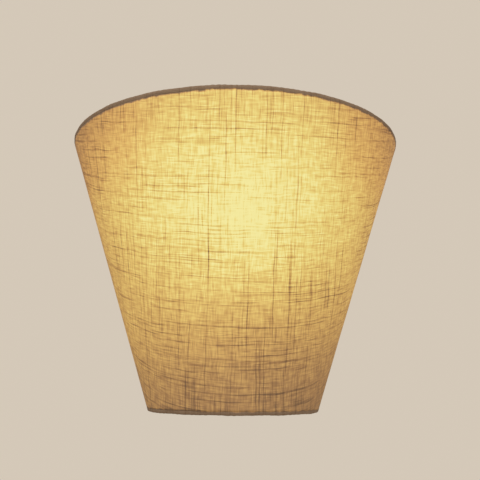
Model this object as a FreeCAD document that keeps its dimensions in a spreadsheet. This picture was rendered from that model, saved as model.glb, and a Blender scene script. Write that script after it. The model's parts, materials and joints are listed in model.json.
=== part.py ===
"""Fabric shade wall light: a half-cone linen shade that hangs on a pressed steel wall tray.

The frame of the part: the wall is the plane y = 0 and the light stands out towards -Y, with +X to
the right and +Z up. The origin is the middle of the tray's two wall fixing slots. Sizes are in mm.
"""
import FreeCAD, Part
import math
import os
import Sketcher

Vector = FreeCAD.Vector
doc = FreeCAD.newDocument("fabric_shade_wall_light")

# Driving dimensions, one cell each.
SIZES = {
    # Shade: outer radius at its two edges, height, and how far it hangs below the origin.
    "top_radius": 140.0,
    "bottom_radius": 70.0,
    "shade_height": 224.0,
    "shade_drop": 85.0,
    "wall_gap": 0.75,
    "cover_thick": 0.5,
    "liner_thick": 0.4,
    "glue_gap": 0.15,
    "hem_radius": 1.9,
    "wire_radius": 1.35,
    "rod_overrun": 1.0,
    "wrap_gap": 0.05,
    "edge_gap": 0.1,
    # Flat bar welded across the shade's frame, with two tongues that drop into the tray.
    "bar_height": 12.0,
    "bar_thick": 1.5,
    "tongue_width": 10.0,
    "tongue_length": 12.0,
    "tongue_spacing": 56.0,
    "tongue_gap": 0.3,
    # Wall tray.
    "tray_width": 90.0,
    "tray_height": 90.0,
    "tray_depth": 16.0,
    "tray_thick": 1.2,
    "tray_corner": 6.0,
    "fixing_spacing": 60.0,
    "fixing_slot_width": 5.0,
    "fixing_slot_length": 12.0,
    "cable_radius": 4.5,
    "bush_wall": 1.4,
    "bush_flange_radius": 8.0,
    "bush_flange_thick": 1.8,
    "edge_break": 0.6,
    # Terminal block.
    "block_width": 24.0,
    "block_height": 17.0,
    "block_depth": 13.0,
    "block_rise": 12.0,
    "block_round": 3.0,
    "block_well_radius": 3.3,
    "block_web": 5.2,
    "pole_spacing": 12.0,
    "tube_radius": 2.5,
    "tube_bore": 1.5,
    "tube_length": 15.0,
    "terminal_pitch": 7.5,
    "terminal_screw_radius": 1.25,
    "terminal_screw_length": 5.5,
    "grub_slot_width": 0.5,
    "grub_slot_depth": 0.8,
    # Fixings.
    "fixing_radius": 1.7,
    "fixing_head_radius": 3.1,
    "earth_radius": 2.0,
    "earth_head_radius": 3.9,
    "earth_washer_radius": 4.6,
    "earth_side": 30.0,
    "earth_drop": 26.0,
    "washer_thick": 0.8,
    "rivet_radius": 1.6,
    "rivet_head_radius": 3.0,
    "rivet_head_height": 1.4,
    "rivet_pitch": 12.0,
    "rivet_drop": 9.0,
    "head_height": 2.0,
    "hole_gap": 0.05,
    # Lampholder arm: an angle bracket whose level leg carries the lampholder.
    "arm_drop": 15.0,
    "arm_width": 20.0,
    "arm_thick": 2.0,
    "arm_bend": 4.0,
    "arm_round": 6.0,
    "arm_leg": 26.0,
    "arm_nose": 12.0,
    "holder_reach": 40.0,
    # Lampholder, measured up from the arm's top face.
    "nipple_radius": 5.0,
    "nipple_bore": 3.5,
    "nipple_length": 10.0,
    "nipple_washer_radius": 8.5,
    "nut_flats": 14.0,
    "nut_thick": 3.0,
    "cap_room": 3.3,
    "cap_wall": 1.6,
    "cap_floor": 2.0,
    "cap_height": 18.0,
    "cap_chamfer": 1.5,
    "cap_step": 1.0,
    "boss_wall": 1.5,
    "boss_height": 1.0,
    "terminal_size": 7.0,
    "terminal_inset": 2.84,
    "terminal_height": 6.0,
    "terminal_base": 4.5,
    "terminal_head_radius": 2.0,
    "insert_base": 10.7,
    "insert_shoulder": 3.0,
    "insert_height": 13.3,
    "insert_rim": 0.7,
    "skirt_height": 33.0,
    "skirt_wall": 2.0,
    "spigot_length": 4.0,
    "spigot_wall": 1.4,
    "skirt_collar": 3.0,
    "fit_gap": 0.2,
    "shell_length": 26.0,
    "shell_wall": 0.3,
    "shell_foot": 2.32,
    "thread_depth": 0.45,
    "thread_pitch": 2.822,
    "thread_gap": 0.08,
    "thread_start": 2.0,
    "contact_rise": 3.3,
    "contact_thick": 0.4,
    "contact_width": 4.0,
    "contact_gap": 0.3,
    "contact_root": 5.6,
    "contact_knee": 2.6,
    "contact_crown": 1.4,
    "contact_end": 2.0,
    "pin_radius": 0.7,
    "pin_head_radius": 1.15,
    "pin_head_height": 0.6,
    # Lamp, measured up from its tip.
    "bulb_length": 78.0,
    "globe_radius": 22.5,
    "glass_thick": 0.6,
    "neck_radius": 7.1,
    "neck_curve": 10.0,
    "stem_radius": 2.2,
    "stem_foot": 12.0,
    "stem_top": 37.5,
    "stem_flare": 3.0,
    "support_radius": 0.35,
    "filament_radius": 0.5,
    "filament_half": 9.5,
    "base_radius": 6.85,
    "base_start": 3.6,
    "base_taper": 1.0,
    "base_collar": 2.6,
    "base_top": 24.0,
    "cement_gap": 0.25,
    "tip_radius": 2.4,
    "tip_height": 1.2,
    # Leads from the block to the lampholder.
    "lead_radius": 1.1,
    "lead_level": 7.5,
}


# Turns of thread in the lampholder's shell and on the lamp's base.
SHELL_TURNS = 7
BASE_TURNS = 5

# Proportions of a pan head: the height of its upright rim, the radius of its flat crown, and the
# half width and depth of its slot, as shares of the head's height or radius.
HEAD_RIM = 0.6
HEAD_CROWN = 0.8
HEAD_SLOT_HALF = 0.15
HEAD_SLOT_DEPTH = 0.4

# A bend's radius as a share of the shorter run beside it, and how far a cutting block reaches past
# the piece it cuts.
BEND_SHARE = 0.45
PAST = 1.5

# Two directions count as parallel above this cosine, and a cut counts above this volume.
PARALLEL = 0.999
SMALLEST_CUT = 1e-6


class Size:
    """A number with the expression that works it out from the sheet's cells."""

    def __init__(self, value, text):
        self.value = float(value)
        self.text = text

    def __add__(self, other):
        other = as_size(other)
        return Size(self.value + other.value, f"({self.text} + {other.text})")

    def __radd__(self, other):
        return as_size(other) + self

    def __sub__(self, other):
        other = as_size(other)
        return Size(self.value - other.value, f"({self.text} - {other.text})")

    def __rsub__(self, other):
        return as_size(other) - self

    def __mul__(self, other):
        other = as_size(other)
        return Size(self.value * other.value, f"({self.text} * {other.text})")

    def __rmul__(self, other):
        return as_size(other) * self

    def __truediv__(self, other):
        other = as_size(other)
        return Size(self.value / other.value, f"({self.text} / {other.text})")

    def __neg__(self):
        return Size(-self.value, f"(0 - {self.text})")


def as_size(number):
    """Return a plain number as a Size, and a Size as it is."""
    if isinstance(number, Size):
        return number
    return Size(number, f"{number:g}")


def root(size):
    """The square root of a Size."""
    return Size(math.sqrt(size.value), f"sqrt({size.text})")


def tilt(run, rise):
    """The angle in degrees from the vertical of a line with this run and rise."""
    return Size(math.degrees(math.atan2(run.value, rise.value)), f"atan({run.text} / {rise.text})")


def fill_sheet(sizes):
    """Write each driving dimension to a cell with its alias, and return them as Sizes by name."""
    sheet = doc.addObject("Spreadsheet::Sheet", "dims")
    named = {}
    for row, (name, value) in enumerate(sizes.items(), start=1):
        sheet.set(f"A{row}", name)
        sheet.set(f"B{row}", str(value))
        sheet.setAlias(f"B{row}", name)
        named[name] = Size(value, f"dims.{name}")
    doc.recompute()
    return named


size = fill_sheet(SIZES)
nodes = []


def node(obj):
    """Keep an object as a sub-part that is written out under its label."""
    nodes.append(obj)
    return obj


def bind(obj, path, value):
    """Tie a property of an object to the sheet."""
    obj.setExpression(path, as_size(value).text)


def place(obj, x=0, y=0, z=0, turn_axis=None, turn=0):
    """Put an object's origin at x, y, z, turned about an axis through that point."""
    if turn_axis is not None:
        obj.Placement = FreeCAD.Placement(Vector(), FreeCAD.Rotation(turn_axis, as_size(turn).value))
        if isinstance(turn, Size):
            bind(obj, "Placement.Rotation.Angle", turn)
    for letter, value in zip("xyz", (x, y, z)):
        bind(obj, f"Placement.Base.{letter}", value)
    return obj


# ---------------------------------------------------------------- sketches and features


def new_body(label):
    """An empty body with its label."""
    return doc.addObject("PartDesign::Body", label)


def new_sketch(body, role, name, offset=None):
    """A sketch on one of the body's own planes, moved along the plane's normal by offset."""
    sketch = body.newObject("Sketcher::SketchObject", f"{body.Name}_{name}")
    plane = next(feature for feature in body.Origin.OriginFeatures if feature.Role == role)
    sketch.AttachmentSupport = [(plane, "")]
    sketch.MapMode = "FlatFace"
    if offset is not None:
        bind(sketch, "AttachmentOffset.Base.z", offset)
    return sketch


def pin(sketch, geometry, point, x, y):
    """Hold one point of a sketch's geometry at x, y from the sketch's origin."""
    for kind, value in (("DistanceX", as_size(x)), ("DistanceY", as_size(y))):
        index = sketch.addConstraint(Sketcher.Constraint(kind, -1, 1, geometry, point, value.value))
        sketch.setExpression(f"Constraints[{index}]", value.text)


def arc_between(start, end, radius):
    """An arc from start to end. A positive radius has its centre left of the way from start to end."""
    chord = end - start
    middle = (start + end) * 0.5
    left = Vector(-chord.y, chord.x, 0).normalize()
    height = math.sqrt(radius ** 2 - (chord.Length / 2) ** 2)
    centre = middle + left * math.copysign(height, radius)
    circle = Part.Circle(centre, Vector(0, 0, 1), abs(radius))
    if radius > 0:
        return Part.ArcOfCircle(circle, circle.parameter(start), circle.parameter(end))
    return Part.ArcOfCircle(circle, circle.parameter(end), circle.parameter(start))


def draw_outline(sketch, points, arcs=None):
    """A closed outline through the points. arcs gives the radius of the edge that starts at a point."""
    arcs = arcs or {}
    ends = []
    for index, (x, y) in enumerate(points):
        next_x, next_y = points[(index + 1) % len(points)]
        start = Vector(as_size(x).value, as_size(y).value, 0)
        end = Vector(as_size(next_x).value, as_size(next_y).value, 0)
        if index in arcs:
            radius = as_size(arcs[index])
            geometry = sketch.addGeometry(arc_between(start, end, radius.value), False)
            first, last = (1, 2) if radius.value > 0 else (2, 1)
            constraint = Sketcher.Constraint("Radius", geometry, abs(radius.value))
            tie = sketch.addConstraint(constraint)
            sketch.setExpression(f"Constraints[{tie}]", f"abs({radius.text})")
        else:
            geometry = sketch.addGeometry(Part.LineSegment(start, end), False)
            first, last = 1, 2
        ends.append((geometry, first, last))
    for index, (x, y) in enumerate(points):
        geometry, first, last = ends[index]
        before, before_first, before_last = ends[index - 1]
        sketch.addConstraint(Sketcher.Constraint("Coincident", before, before_last, geometry, first))
        pin(sketch, geometry, first, x, y)


def draw_circle(sketch, x, y, radius):
    """A circle held at its centre."""
    radius = as_size(radius)
    centre = Vector(as_size(x).value, as_size(y).value, 0)
    geometry = sketch.addGeometry(Part.Circle(centre, Vector(0, 0, 1), radius.value), False)
    pin(sketch, geometry, 3, x, y)
    index = sketch.addConstraint(Sketcher.Constraint("Radius", geometry, radius.value))
    sketch.setExpression(f"Constraints[{index}]", radius.text)


def rectangle(left, bottom, right, top):
    """The corners of an upright rectangle."""
    return [(left, bottom), (right, bottom), (right, top), (left, top)]


def rounded(left, bottom, right, top, radius):
    """The corners of an upright rectangle with round corners, and the arcs among them."""
    points = [
        (left + radius, bottom),
        (right - radius, bottom),
        (right, bottom + radius),
        (right, top - radius),
        (right - radius, top),
        (left + radius, top),
        (left, top - radius),
        (left, bottom + radius),
    ]
    return points, {1: radius, 3: radius, 5: radius, 7: radius}


def draw_slot(sketch, x, y, length, width):
    """A level slot with round ends."""
    reach = (length - width) / 2
    half = width / 2
    points = [
        (x - reach, y - half),
        (x + reach, y - half),
        (x + reach + half, y),
        (x + reach, y + half),
        (x - reach, y + half),
        (x - reach - half, y),
    ]
    draw_outline(sketch, points, {1: half, 2: half, 4: half, 5: half})


def pad(body, sketch, length, midplane=False):
    """Thicken a sketch along its normal, or both ways from its plane."""
    feature = body.newObject("PartDesign::Pad", f"{sketch.Name}_pad")
    feature.Profile = sketch
    feature.Midplane = midplane
    bind(feature, "Length", length)
    doc.recompute()
    return feature


def pocket(body, sketch, length=None, along_normal=False):
    """Cut a sketch into a body, against its normal or along it, and stop if nothing was cut."""
    before = body.Shape.Volume
    feature = body.newObject("PartDesign::Pocket", f"{sketch.Name}_pocket")
    feature.Profile = sketch
    feature.Reversed = along_normal
    if length is None:
        feature.Type = 1
    else:
        bind(feature, "Length", length)
    doc.recompute()
    if body.Shape.Volume > before - SMALLEST_CUT:
        raise RuntimeError(f"{feature.Name} cut nothing")
    return feature


def turned(label, points, arcs=None, half=False):
    """A body turned about its own Z axis from an outline of radius and height.

    Half a turn keeps the side towards -Y.
    """
    body = new_body(label)
    sketch = new_sketch(body, "XZ_Plane", "profile")
    draw_outline(sketch, points, arcs)
    return revolve(body, sketch, half)


def revolve(body, sketch, half=False):
    """Turn a sketch about the upright axis of its plane."""
    feature = body.newObject("PartDesign::Revolution", f"{sketch.Name}_turn")
    feature.Profile = sketch
    feature.ReferenceAxis = (sketch, ["V_Axis"])
    feature.Angle = 180 if half else 360
    feature.Reversed = half
    doc.recompute()
    return body


def edges_along(shape, direction, test):
    """The names of the straight edges along a direction whose middle passes a test."""
    names = []
    for index, edge in enumerate(shape.Edges, start=1):
        if not isinstance(edge.Curve, Part.Line):
            continue
        along = abs(edge.tangentAt(edge.FirstParameter).dot(direction)) > PARALLEL
        if along and test(edge.CenterOfMass):
            names.append(f"Edge{index}")
    return names


def round_edges(body, direction, test, radius):
    """Fillet the straight edges along a direction that pass a test."""
    base = body.Tip
    feature = body.newObject("PartDesign::Fillet", f"{body.Name}_round_{len(body.Group)}")
    feature.Base = (base, edges_along(base.Shape, direction, test))
    bind(feature, "Radius", radius)
    doc.recompute()
    return feature


def cut(label, base, *tools):
    """The base with every tool taken away."""
    if len(tools) > 1:
        joined = doc.addObject("Part::MultiFuse", f"{label}_tools")
        joined.Shapes = list(tools)
    else:
        joined = tools[0]
    result = doc.addObject("Part::Cut", label)
    result.Base = base
    result.Tool = joined
    doc.recompute()
    return result


def group(label, members):
    """Alike pieces kept together as separate solids."""
    result = doc.addObject("Part::Compound", label)
    result.Links = members
    doc.recompute()
    return result


def screw(label, head_radius, head_height, shank_radius, shank_length, slot=True):
    """A pan head screw or rivet: its head stands up from z = 0 and its shank goes down."""
    points = [
        (0, -shank_length),
        (shank_radius, -shank_length),
        (shank_radius, 0),
        (head_radius, 0),
        (head_radius, head_height * HEAD_RIM),
        (head_radius * HEAD_CROWN, head_height),
        (0, head_height),
    ]
    body = turned(label, points)
    if slot:
        sketch = new_sketch(body, "XY_Plane", "slot", head_height)
        half = head_radius * HEAD_SLOT_HALF
        draw_outline(sketch, rectangle(-head_radius, -half, head_radius, half))
        pocket(body, sketch, head_height * HEAD_SLOT_DEPTH)
    return body


FACING_ROOM = Vector(1, 0, 0)


def place_screw(body, x, y, z):
    """Set a screw with its head towards the room, its seat at y."""
    return place(body, x, y, z, FACING_ROOM, 90)


# ---------------------------------------------------------------- places that several pieces share

frame_y = -(size["wall_gap"] + size["hem_radius"])
shade_base = -size["shade_drop"]
ring_bottom = size["bottom_radius"] - size["hem_radius"]
ring_top = size["top_radius"] - size["hem_radius"]
slope_run = ring_top - ring_bottom
slope_rise = size["shade_height"] - size["hem_radius"] * 2
slope_length = root(slope_run * slope_run + slope_rise * slope_rise)
slope_sine = slope_run / slope_length
slope_cosine = slope_rise / slope_length
slope_angle = tilt(slope_run, slope_rise)

tray_top = size["tray_height"] / 2
tray_face = -size["tray_thick"]
holder_y = -size["holder_reach"]
arm_z = -size["arm_drop"]
insert_top = size["insert_base"] + size["insert_height"]
bulb_z = arm_z + insert_top + size["contact_rise"] + size["contact_gap"]
block_y = tray_face - size["block_depth"] / 2
pole_side = size["pole_spacing"] / 2
lead_z = arm_z + size["lead_level"]

# The lampholder's radii, outwards from the lamp's base: the screw shell is a running fit round it.
shell_bore = size["base_radius"] + size["thread_gap"]
shell_outer = shell_bore + size["thread_depth"] + size["shell_wall"]
shell_foot = shell_outer + size["shell_foot"]
insert_radius = shell_foot + size["insert_rim"]
cap_radius = insert_radius + size["cap_room"]
shell_pin = (shell_outer + shell_foot) / 2
terminal_side = shell_pin - size["terminal_inset"]


def frame_radius(z):
    """How far the side wires' centre line is from the middle at height z."""
    return ring_bottom + (z - shade_base - size["hem_radius"]) * slope_run / slope_rise


# ---------------------------------------------------------------- wall tray and what is fixed to it


def make_back_tray():
    """A pressed steel tray, open to the room, with its wall fixing slots and hanger slots."""
    body = new_body("back_tray")
    wide = size["tray_width"] / 2
    thick = size["tray_thick"]
    outline = new_sketch(body, "XZ_Plane", "outline")
    draw_outline(outline, *rounded(-wide, -tray_top, wide, tray_top, size["tray_corner"]))
    pad(body, outline, size["tray_depth"])
    inside = new_sketch(body, "XZ_Plane", "inside", thick)
    reach = wide - thick
    tall = tray_top - thick
    draw_outline(inside, *rounded(-reach, -tall, reach, tall, size["tray_corner"] - thick))
    pocket(body, inside, size["tray_depth"], along_normal=True)

    slots = new_sketch(body, "XZ_Plane", "slots")
    for side in (-1, 1):
        x = size["fixing_spacing"] / 2 * side
        draw_slot(slots, x, as_size(0), size["fixing_slot_length"], size["fixing_slot_width"])
    pocket(body, slots, thick * 2, along_normal=True)

    holes = new_sketch(body, "XZ_Plane", "holes")
    draw_circle(holes, 0, 0, size["cable_radius"] + size["bush_wall"] + size["hole_gap"])
    draw_circle(holes, 0, size["block_rise"] + size["block_height"] / 2,
                size["fixing_radius"] + size["hole_gap"])
    draw_circle(holes, -size["earth_side"], -size["earth_drop"], size["earth_radius"] + size["hole_gap"])
    for z in rivet_heights():
        draw_circle(holes, 0, z, size["rivet_radius"] + size["hole_gap"])
    pocket(body, holes, thick * 2, along_normal=True)

    hangers = new_sketch(body, "XY_Plane", "hangers", tray_top)
    long = size["tongue_width"] / 2 + size["tongue_gap"]
    wide_slot = size["bar_thick"] / 2 + size["tongue_gap"]
    for side in (-1, 1):
        x = size["tongue_spacing"] / 2 * side
        corners = rectangle(x - long, frame_y - wide_slot, x + long, frame_y + wide_slot)
        draw_outline(hangers, corners)
    pocket(body, hangers, thick * 2)
    node(body)


def rivet_heights():
    """Where the arm's two rivets are, down its upright leg."""
    first = arm_z - size["rivet_drop"]
    return [first, first - size["rivet_pitch"]]


def make_cable_bush():
    """A flanged bush that lines the cable hole. Its barrel ends flush with the wall face."""
    bore = size["cable_radius"]
    barrel = bore + size["bush_wall"]
    flange_top = size["tray_thick"] + size["bush_flange_thick"]
    points = [
        (bore, 0),
        (barrel, 0),
        (barrel, size["tray_thick"]),
        (size["bush_flange_radius"], size["tray_thick"]),
        (size["bush_flange_radius"], flange_top - size["edge_break"]),
        (size["bush_flange_radius"] - size["edge_break"], flange_top),
        (bore, flange_top),
    ]
    node(place_screw(turned("cable_bush", points), 0, 0, 0))


def make_terminal_block():
    """A two-pole block with a through bore for each tube and a well over each screw."""
    body = new_body("terminal_block")
    half = size["block_width"] / 2
    top = size["block_rise"] + size["block_height"]
    middle = size["block_rise"] + size["block_height"] / 2
    outline = new_sketch(body, "XZ_Plane", "outline", size["tray_thick"])
    draw_outline(outline, rectangle(-half, size["block_rise"], half, top))
    pad(body, outline, size["block_depth"])
    round_edges(body, Vector(0, 0, 1), lambda point: point.y < block_y.value, size["block_round"])

    bores = new_sketch(body, "XY_Plane", "bores", top)
    for side in (-1, 1):
        draw_circle(bores, pole_side * side, block_y, size["tube_radius"] + size["hole_gap"])
    pocket(body, bores)

    front = size["tray_thick"] + size["block_depth"]
    wells = new_sketch(body, "XZ_Plane", "wells", front)
    for x, z in screw_places():
        draw_circle(wells, x, z, size["terminal_screw_radius"] + size["fit_gap"])
    pocket(body, wells, size["block_depth"] / 2)

    hole = new_sketch(body, "XZ_Plane", "fixing_hole", front)
    draw_circle(hole, 0, middle, size["fixing_radius"] + size["hole_gap"])
    pocket(body, hole)
    seat = new_sketch(body, "XZ_Plane", "fixing_well", front)
    draw_circle(seat, 0, middle, size["block_well_radius"])
    pocket(body, seat, size["block_depth"] - size["block_web"])
    node(body)


def screw_places():
    """The middle of each terminal screw of the block."""
    middle = size["block_rise"] + size["block_height"] / 2
    step = size["terminal_pitch"] / 2
    return [(pole_side * side, middle + step * way) for side in (-1, 1) for way in (-1, 1)]


def make_terminal_tubes():
    """The block's two brass tubes, each with a hole for its two screws."""
    tubes = []
    base = size["block_rise"] + (size["block_height"] - size["tube_length"]) / 2
    for number, side in enumerate((-1, 1), start=1):
        points = rectangle(size["tube_bore"], 0, size["tube_radius"], size["tube_length"])
        body = turned(f"terminal_tube_{number}", points)
        holes = new_sketch(body, "XZ_Plane", "screw_holes")
        for way in (-1, 1):
            z = size["tube_length"] / 2 + size["terminal_pitch"] / 2 * way
            draw_circle(holes, 0, z, size["terminal_screw_radius"] + size["hole_gap"])
        pocket(body, holes, size["tube_radius"] * 2, along_normal=True)
        tubes.append(place(body, pole_side * side, block_y, base))
    node(group("terminal_tubes", tubes))


def make_terminal_screws():
    """Four slotted grub screws that reach through the tube wall to clamp a conductor."""
    screws = []
    length = size["terminal_screw_length"]
    radius = size["terminal_screw_radius"]
    half = size["grub_slot_width"] / 2
    for number, (x, z) in enumerate(screw_places(), start=1):
        body = turned(f"terminal_screw_{number}", rectangle(0, 0, radius, length))
        slot = new_sketch(body, "XY_Plane", "slot", length)
        draw_outline(slot, rectangle(-radius * 2, -half, radius * 2, half))
        pocket(body, slot, size["grub_slot_depth"])
        screws.append(place_screw(body, x, block_y - size["tube_bore"] / 3, z))
    node(group("terminal_screws", screws))


def make_block_screw():
    """The screw that holds the terminal block to the tray."""
    middle = size["block_rise"] + size["block_height"] / 2
    web = size["block_web"]
    body = screw("block_screw", size["fixing_head_radius"], size["head_height"],
                 size["fixing_radius"], web + size["tray_thick"])
    node(place_screw(body, 0, tray_face - web, middle))


def make_earth_terminal():
    """The earthing screw and the washer under its head."""
    hole = size["earth_radius"] + size["fit_gap"]
    ring = rectangle(hole, 0, size["earth_washer_radius"], size["washer_thick"])
    washer = turned("earth_washer", ring)
    node(place_screw(washer, -size["earth_side"], tray_face, -size["earth_drop"]))
    body = screw("earth_screw", size["earth_head_radius"], size["head_height"],
                 size["earth_radius"], size["washer_thick"] + size["tray_thick"])
    seat = tray_face - size["washer_thick"]
    node(place_screw(body, -size["earth_side"], seat, -size["earth_drop"]))


def make_holder_arm():
    """The angle bracket: its upright leg lies on the tray and its level leg stands out."""
    body = new_body("holder_arm")
    thick = size["arm_thick"]
    back = tray_face
    nose = holder_y - size["arm_nose"]
    foot = arm_z - size["arm_leg"]
    bend = size["arm_bend"]
    points = [
        (back, foot),
        (back, arm_z - bend),
        (back - bend, arm_z),
        (nose, arm_z),
        (nose, arm_z - thick),
        (back - bend, arm_z - thick),
        (back - thick, arm_z - bend),
        (back - thick, foot),
    ]
    profile = new_sketch(body, "YZ_Plane", "profile")
    draw_outline(profile, points, {1: bend, 5: -(bend - thick)})
    pad(body, profile, size["arm_width"], midplane=True)
    round_edges(body, Vector(0, 0, 1), lambda middle: middle.y < holder_y.value, size["arm_round"])

    eye = new_sketch(body, "XY_Plane", "eye", arm_z)
    draw_circle(eye, 0, holder_y, size["nipple_radius"] + size["hole_gap"])
    pocket(body, eye, thick * 2)
    holes = new_sketch(body, "XZ_Plane", "rivet_holes")
    for z in rivet_heights():
        draw_circle(holes, 0, z, size["rivet_radius"] + size["hole_gap"])
    pocket(body, holes, thick * 3, along_normal=True)
    node(body)


def make_arm_rivets():
    """Two rivets that hold the arm to the tray. Their tails end flush with the wall face."""
    rivets = []
    grip = size["tray_thick"] + size["arm_thick"]
    for number, z in enumerate(rivet_heights(), start=1):
        body = screw(f"arm_rivet_{number}", size["rivet_head_radius"], size["rivet_head_height"],
                     size["rivet_radius"], grip, slot=False)
        rivets.append(place_screw(body, 0, -grip, z))
    node(group("arm_rivets", rivets))


# ---------------------------------------------------------------- lampholder


def on_arm(body, height=0):
    """Stand a lampholder piece over the arm's eye, this far above the arm's top face."""
    return node(place(body, 0, holder_y, arm_z + height))


def make_nipple():
    """The threaded tube that clamps the lampholder to the arm, with its washer and nut."""
    outer = size["nipple_radius"]
    top = size["cap_floor"] + size["boss_height"]
    tube = rectangle(size["nipple_bore"], top - size["nipple_length"], outer, top)
    on_arm(turned("nipple", tube))
    below = -size["arm_thick"]
    washer = rectangle(outer + size["hole_gap"], below - size["washer_thick"],
                       size["nipple_washer_radius"], below)
    on_arm(turned("nipple_washer", washer))

    nut = new_body("nipple_nut")
    corner = size["nut_flats"] / math.sqrt(3)
    points = []
    for step in range(6):
        angle = math.radians(60 * step)
        points.append((corner * math.cos(angle), corner * math.sin(angle)))
    face = new_sketch(nut, "XY_Plane", "face")
    draw_outline(face, points)
    draw_circle(face, 0, 0, outer + size["hole_gap"])
    pad(nut, face, size["nut_thick"])
    on_arm(nut, below - size["washer_thick"] - size["nut_thick"])


def make_holder_cap():
    """The lampholder's lower cup, with a boss for the nipple and an entry for each lead."""
    outer = cap_radius
    upper = outer - size["cap_wall"]
    lower = upper - size["cap_step"]
    eye = size["nipple_radius"] + size["hole_gap"]
    boss = eye + size["boss_wall"]
    floor = size["cap_floor"]
    step = size["insert_base"] - size["fit_gap"]
    chamfer = size["cap_chamfer"]
    points = [
        (eye, 0),
        (outer - chamfer, 0),
        (outer, chamfer),
        (outer, size["cap_height"]),
        (upper, size["cap_height"]),
        (upper, step),
        (lower, step),
        (lower, floor),
        (boss, floor),
        (boss, floor + size["boss_height"]),
        (eye, floor + size["boss_height"]),
    ]
    body = turned("holder_cap", points)
    entries = new_sketch(body, "XZ_Plane", "lead_entries")
    for side in (-1, 1):
        draw_circle(entries, pole_side * side, size["lead_level"], size["lead_radius"] + size["fit_gap"])
    pocket(body, entries, outer * 2)
    on_arm(body)


def make_holder_terminals():
    """Two brass blocks under the insert, each with the screw that clamps its lead."""
    blocks = []
    screws = []
    wide = size["terminal_size"]
    for number, side in enumerate((-1, 1), start=1):
        body = new_body(f"holder_terminal_{number}")
        face = new_sketch(body, "XY_Plane", "face")
        half = wide / 2
        draw_outline(face, rectangle(-half, -half, half, half))
        pad(body, face, size["terminal_height"])
        hole = new_sketch(body, "XZ_Plane", "screw_hole")
        draw_circle(hole, 0, size["terminal_height"] / 2, size["terminal_screw_radius"] + size["hole_gap"])
        pocket(body, hole, half, along_normal=True)
        base = arm_z + size["terminal_base"]
        blocks.append(place(body, terminal_side * side, holder_y, base))
        head = screw(f"holder_terminal_screw_{number}", size["terminal_head_radius"],
                     size["head_height"], size["terminal_screw_radius"], half - size["fit_gap"])
        middle = base + size["terminal_height"] / 2
        screws.append(place_screw(head, terminal_side * side, holder_y - half, middle))
    node(group("holder_terminals", blocks))
    node(group("holder_terminal_screws", screws))


def contact_places():
    """The two rivets through the insert: the shell's on the left, the tongue's on the right."""
    tongue_side = (size["contact_root"] + size["contact_knee"]) / 2
    return [(-shell_pin, size["shell_wall"]), (tongue_side, size["contact_thick"])]


def make_holder_insert():
    """The moulded insulator that carries the contacts. Its shoulder is trapped in the cap."""
    shoulder = cap_radius - size["cap_wall"] - size["fit_gap"]
    points = [
        (0, 0),
        (shoulder, 0),
        (shoulder, size["insert_shoulder"]),
        (insert_radius, size["insert_shoulder"]),
        (insert_radius, size["insert_height"]),
        (0, size["insert_height"]),
    ]
    body = turned("holder_insert", points)
    holes = new_sketch(body, "XY_Plane", "pin_holes", size["insert_height"])
    for x, thickness in contact_places():
        draw_circle(holes, x, 0, size["pin_radius"] + size["hole_gap"])
    pocket(body, holes)
    on_arm(body, size["insert_base"])


def make_contact_rivets():
    """A rivet for each contact, down through the insert to its terminal block."""
    rivets = []
    terminal_top = size["terminal_base"] + size["terminal_height"]
    for number, (x, thickness) in enumerate(contact_places(), start=1):
        reach = insert_top - terminal_top + thickness
        body = screw(f"contact_rivet_{number}", size["pin_head_radius"], size["pin_head_height"],
                     size["pin_radius"], reach, slot=False)
        rivets.append(place(body, x, holder_y, arm_z + insert_top + thickness))
    node(group("contact_rivets", rivets))


def threads(radius, depth, start, turns):
    """The crests of a rolled thread as points of radius and height, from the bottom up."""
    points = []
    for index in range(2 * turns + 1):
        level = radius if index % 2 == 0 else radius + depth
        points.append((level, start + size["thread_pitch"] * index / 2))
    return points


def make_screw_shell():
    """The brass screw shell: a foot that lies on the insert and a rolled tube."""
    bore = shell_bore
    wall = size["shell_wall"]
    length = size["shell_length"]
    inner = threads(bore, size["thread_depth"], size["thread_start"], SHELL_TURNS)
    outer = [(radius + wall, height) for radius, height in inner]
    hole = size["pin_radius"] + size["hole_gap"]
    foot = [(bore, 0), (shell_foot, 0), (shell_foot, wall), (bore + wall, wall)]
    top = [(bore + wall, length), (bore, length)]
    body = turned("screw_shell", foot + outer + top + inner[::-1])
    eye = new_sketch(body, "XY_Plane", "eye", wall)
    draw_circle(eye, contact_places()[0][0], 0, hole)
    pocket(body, eye, wall * 2)
    on_arm(body, insert_top)


def make_centre_contact():
    """The springy tongue that the lamp's tip presses on."""
    body = new_body("centre_contact")
    thick = size["contact_thick"]
    rise = size["contact_rise"] - thick
    root_end = size["contact_root"]
    knee = size["contact_knee"]
    crown = size["contact_crown"]
    free_end = -size["contact_end"]
    lower = [(root_end, 0), (knee, 0), (crown, rise), (free_end, rise)]
    upper = [
        (free_end, rise + thick),
        (crown + thick, rise + thick),
        (knee + thick, thick),
        (root_end, thick),
    ]
    profile = new_sketch(body, "XZ_Plane", "profile")
    draw_outline(profile, lower + upper)
    pad(body, profile, size["contact_width"], midplane=True)
    eye = new_sketch(body, "XY_Plane", "eye", thick)
    draw_circle(eye, contact_places()[1][0], 0, size["pin_radius"] + size["hole_gap"])
    pocket(body, eye, thick * 2)
    on_arm(body, insert_top)


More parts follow.
